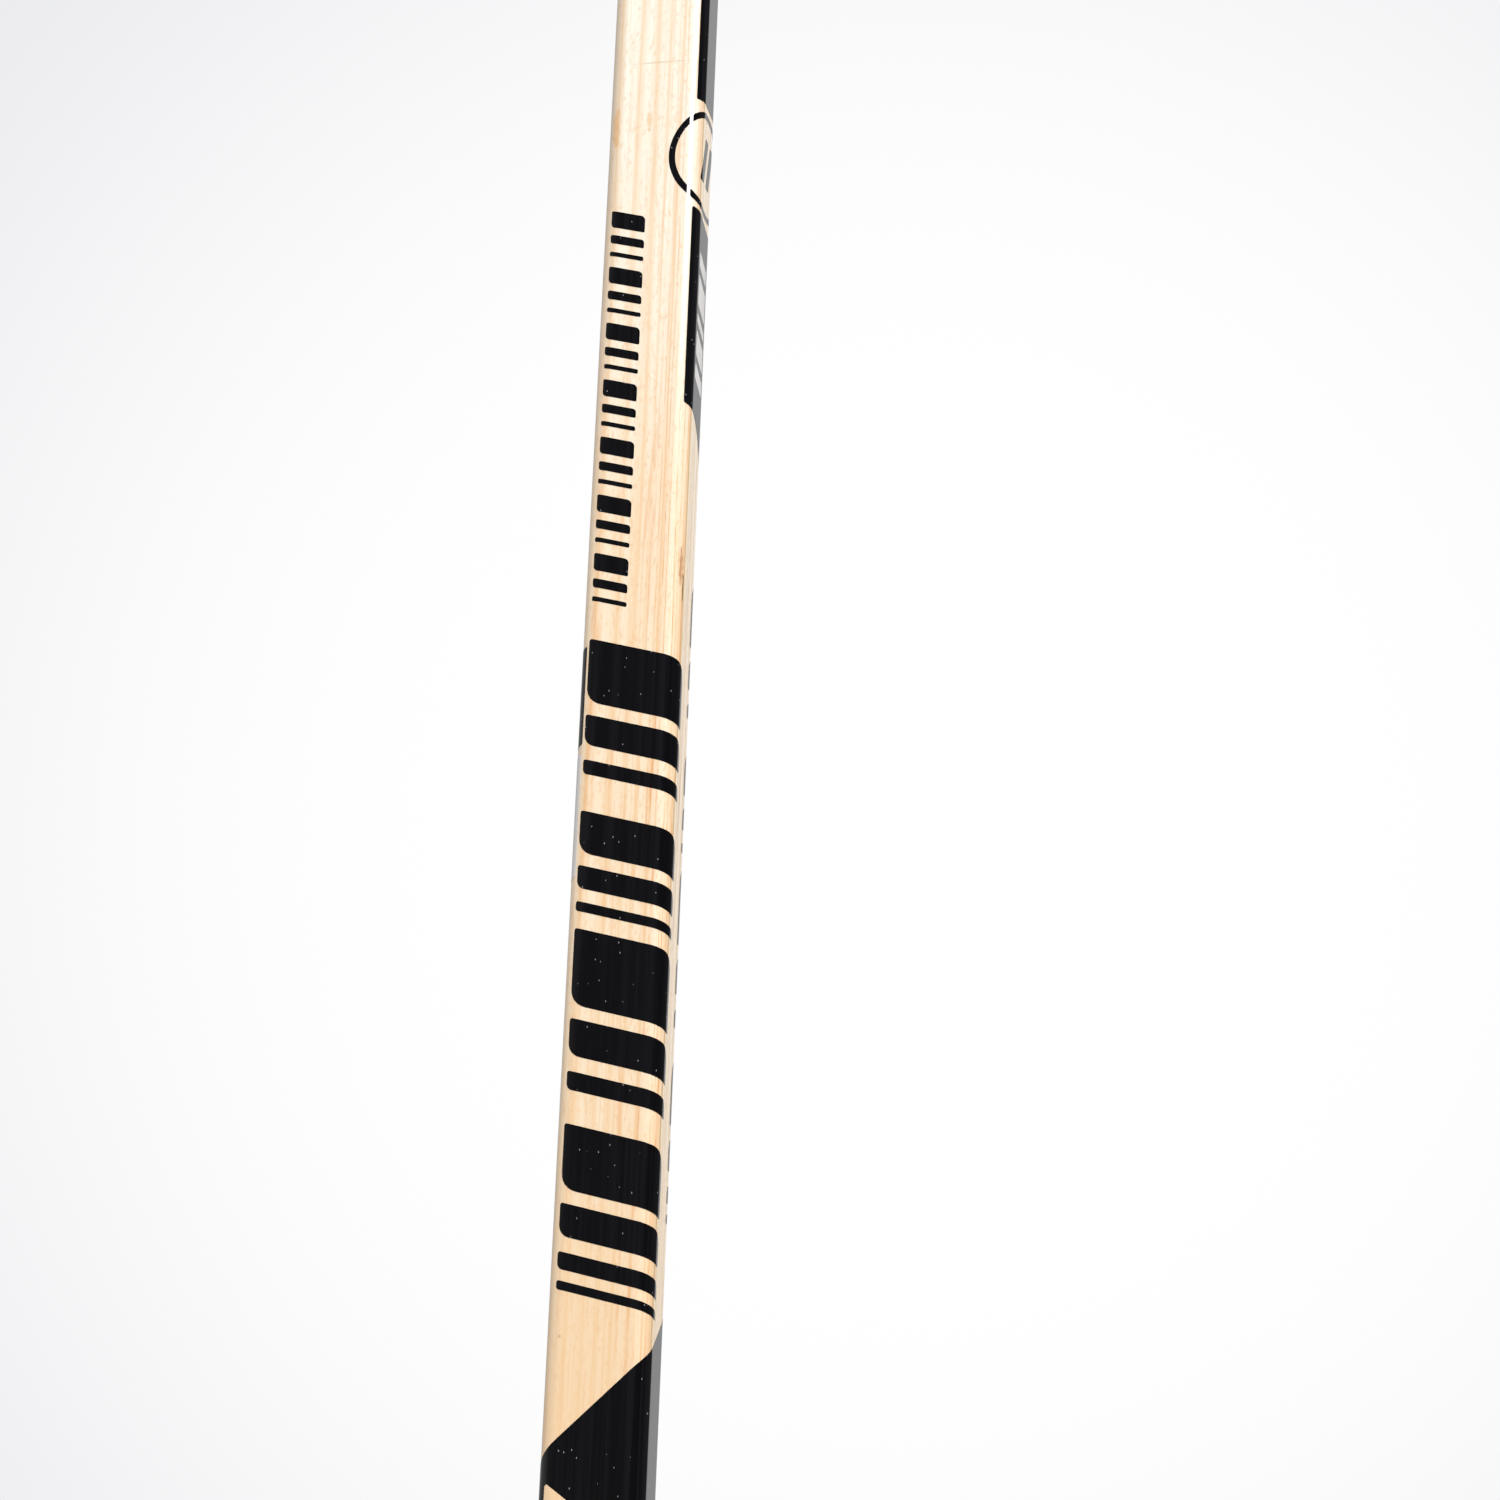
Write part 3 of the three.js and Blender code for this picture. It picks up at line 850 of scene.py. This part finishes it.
def on_blade(node, side):
    """A placing on one face of the blade: distance from the heel, and height above the bottom."""
    mesh = frame["nodes"][node].data
    faces = [polygon.vertices[:] for polygon in mesh.polygons]
    tree = BVHTree.FromPolygons([vertex.co for vertex in mesh.vertices], faces)
    along = Vector((math.cos(BLADE_TURN), 0, -math.sin(BLADE_TURN)))
    up = Vector((math.sin(BLADE_TURN), 0, math.cos(BLADE_TURN)))
    outward = Vector((0, side, 0))

    def place(reach, height, depth):
        start = HEEL_CORNER + along * reach + up * height + outward * RAY_START
        point, normal, _, _ = tree.ray_cast(start, -outward)
        return point - normal * depth, normal
    return place


def print_blade(black):
    """Three leaning stripes on each side of the blade, cut closely to follow its curve."""
    cuts = [distance * MM for distance in BLADE_CUTS]
    stripes = []
    for left, width in BLADE_STRIPES:
        right = left + width
        stripes.append(rounded([
            (left, BLADE_STRIPE_LOW), (right, BLADE_STRIPE_LOW),
            (right + BLADE_STRIPE_LEAN, BLADE_STRIPE_HIGH),
            (left + BLADE_STRIPE_LEAN, BLADE_STRIPE_HIGH),
        ], BLADE_STRIPE_RADIUS))
    for name, side in (("front", -1), ("back", 1)):
        film(f"print_blade_stripes_{name}", stripes, black, -BLADE_INK_RISE,
             place=on_blade(f"blade_skin_{name}", side), cuts=cuts)


# --- Stage ---

FLOOR_RADIUS = 14.0
LIGHT_AIM = Vector((0, 0, -0.8))
LIGHT_DISTANCE = 8.0
# name: azimuth and elevation in degrees, width and height, radiance
LIGHTS = {
    "key": (27, 39, 2.8, 2.95, 37.5),
    "fill_left": (-58, 58, 5.8, 3.3, 5.6),
    "fill_right": (92, 56, 5.1, 3.3, 9.0),
}
FLOOR_LIGHT = 2.7
FLOOR_LIGHT_SPREAD = math.radians(40)
FLOOR_COLOUR = (0.722, 0.724, 0.744, 1)
FLOOR_ROUGHNESS = 0.9

# The backdrop is whitest in this direction, and falls off between these two angles from it.
BACKDROP_CENTRE = Vector((-0.16, 0.92, 0.355))
BACKDROP_CLEAR = math.radians(4)
BACKDROP_FADED = math.radians(18)
BACKDROP_WHITE = linear(255, 255, 255)
BACKDROP_GREY = linear(235, 235, 238)

# How bright the room is to each side of the camera, from 0 at the camera to 1 behind the object
ROOM_RIGHT = ((0.0, 0.08), (0.17, 0.06), (0.24, 0.05), (0.75, 0.09), (0.79, 0.72), (1.0, 1.0))
ROOM_LEFT = (
    (0.0, 0.08), (0.16, 0.1), (0.4, 0.2), (0.5, 0.42), (0.76, 0.45), (0.86, 0.48), (1.0, 0.5),
)


def make_floor():
    shape = bmesh.new()
    bmesh.ops.create_circle(shape, cap_ends=True, segments=128, radius=FLOOR_RADIUS)
    mesh = bpy.data.meshes.new("floor")
    shape.to_mesh(mesh)
    shape.free()
    floor = bpy.data.objects.new("floor", mesh)
    floor.location.z = CAD_BOX[0].z
    bpy.context.scene.collection.objects.link(floor)
    material, graph = new_material("floor_paper")
    shader = graph.node("ShaderNodeBsdfPrincipled", {
        "Base Color": FLOOR_COLOUR, "Roughness": FLOOR_ROUGHNESS,
    })
    graph.node("ShaderNodeOutputMaterial", {"Surface": shader.outputs[0]})
    mesh.materials.append(material)
    return floor


def make_light(name, azimuth, elevation, width, height, radiance):
    turn, lift = math.radians(azimuth), math.radians(elevation)
    level = math.cos(lift)
    towards = Vector((math.sin(turn) * level, -math.cos(turn) * level, math.sin(lift)))
    data = bpy.data.lights.new(name, "AREA")
    data.shape = "RECTANGLE"
    data.size, data.size_y = width, height
    data.energy = radiance * math.pi * width * height
    light = bpy.data.objects.new(name, data)
    light.location = LIGHT_AIM + towards * LIGHT_DISTANCE
    light.rotation_euler = (-towards).to_track_quat("-Z", "Y").to_euler()
    bpy.context.scene.collection.objects.link(light)
    return light


def make_floor_light(floor):
    """An even light straight down on the floor only, for its tone and the blade's shadow."""
    data = bpy.data.lights.new("floor_light", "SUN")
    data.energy = FLOOR_LIGHT
    data.angle = FLOOR_LIGHT_SPREAD
    light = bpy.data.objects.new("floor_light", data)
    bpy.context.scene.collection.objects.link(light)
    lit = bpy.data.collections.new("lit_by_floor_light")
    lit.objects.link(floor)
    light.light_linking.receiver_collection = lit


def light_only_the_stick(lights, floor):
    """The studio lights leave the floor to the even one."""
    lit = bpy.data.collections.new("lit_by_studio_lights")
    for item in bpy.context.scene.objects:
        if item.type == "MESH" and item != floor:
            lit.objects.link(item)
    for light in lights:
        light.light_linking.receiver_collection = lit


def make_world():
    """A dim room with a bright backdrop behind the object, and a near-white background."""
    world = bpy.data.worlds.new("studio")
    bpy.context.scene.world = world
    world.use_nodes = True
    graph = Graph(world.node_tree)
    direction = graph.node("ShaderNodeTexCoord").outputs["Generated"]
    # Azimuth from the camera's side, in half turns: 0 at the camera, 1 straight behind the object.
    ahead = Vector((math.sin(VIEW_AZIMUTH), -math.cos(VIEW_AZIMUTH), 0))
    across = Vector((math.cos(VIEW_AZIMUTH), math.sin(VIEW_AZIMUTH), 0))

    def along(axis):
        made = graph.node("ShaderNodeVectorMath", {0: direction, 1: axis}, operation="DOT_PRODUCT")
        return made.outputs["Value"]
    angle = graph.math("DIVIDE", graph.math("ARCTAN2", along(across), along(ahead)), math.pi)
    right = graph.ramp(graph.math("MAXIMUM", angle, 0.0), ROOM_RIGHT)
    left = graph.ramp(graph.math("MAXIMUM", graph.math("MULTIPLY", angle, -1.0), 0.0), ROOM_LEFT)
    is_right = graph.math("GREATER_THAN", angle, 0.0)
    room = graph.mix(is_right, left, right)
    nearness = along(BACKDROP_CENTRE.normalized())
    edge = graph.range(nearness, math.cos(BACKDROP_CLEAR), math.cos(BACKDROP_FADED))
    backdrop = graph.mix(edge, BACKDROP_WHITE, BACKDROP_GREY)
    seen = graph.node("ShaderNodeLightPath").outputs["Is Camera Ray"]
    colour = graph.mix(seen, room, backdrop)
    shader = graph.node("ShaderNodeBackground", {"Color": colour, "Strength": 1.0})
    graph.node("ShaderNodeOutputWorld", {"Surface": shader.outputs[0]})


# --- The object ---


def make_pieces():
    face = wood(
        "birch_face_ply", BIRCH, turn=14, spacing=4.6 * MM, shift=0.3 * MM, marks=WEAR_MARKS)
    outer_core = wood("aspen_core_ply", ASPEN, turn=70, spacing=3.4 * MM, shift=1.1 * MM)
    centre_core = wood("aspen_centre_ply", ASPEN, turn=52, spacing=4.0 * MM, shift=2.7 * MM)
    ash = wood("ash_blade_core", ASH, turn=40, spacing=3.0 * MM, shift=0.0)
    fibre = fibre_material()
    skin = skin_material()
    for side in ("front", "back"):
        finish_copy(f"shaft_face_ply_{side}", face, VARNISH_DEPTH)
        finish_copy(f"shaft_fibre_layer_{side}", fibre, VARNISH_DEPTH)
        finish_copy(f"shaft_core_ply_{side}", outer_core, VARNISH_DEPTH)
        finish_copy(f"blade_skin_{side}", skin, bevel=0.25 * MM)
    finish_copy("shaft_core_ply_centre", centre_core, VARNISH_DEPTH)
    finish_copy("heel_block", ash, VARNISH_DEPTH)
    for strip in ("top", "middle", "bottom"):
        finish_copy(f"blade_core_{strip}_strip", ash, bevel=0.2 * MM)


def make_print():
    black = ink_material("black_ink", INK_BLACK, INK_WORN, INK_SPECK)
    pale = ink_material("pale_ink", PALE_INK, PALE_WORN, PALE_SPECK)
    make_bars(black)
    make_ring(black)
    make_side_panels(black, pale)
    make_band(black)
    print_blade(black)


def make_studio():
    floor = make_floor()
    lights = [make_light(name, *values) for name, values in LIGHTS.items()]
    light_only_the_stick(lights, floor)
    make_floor_light(floor)
    make_world()
    bpy.context.scene.view_settings.view_transform = "Standard"


def main():
    make_camera()
    make_pieces()
    make_print()
    make_studio()


main()
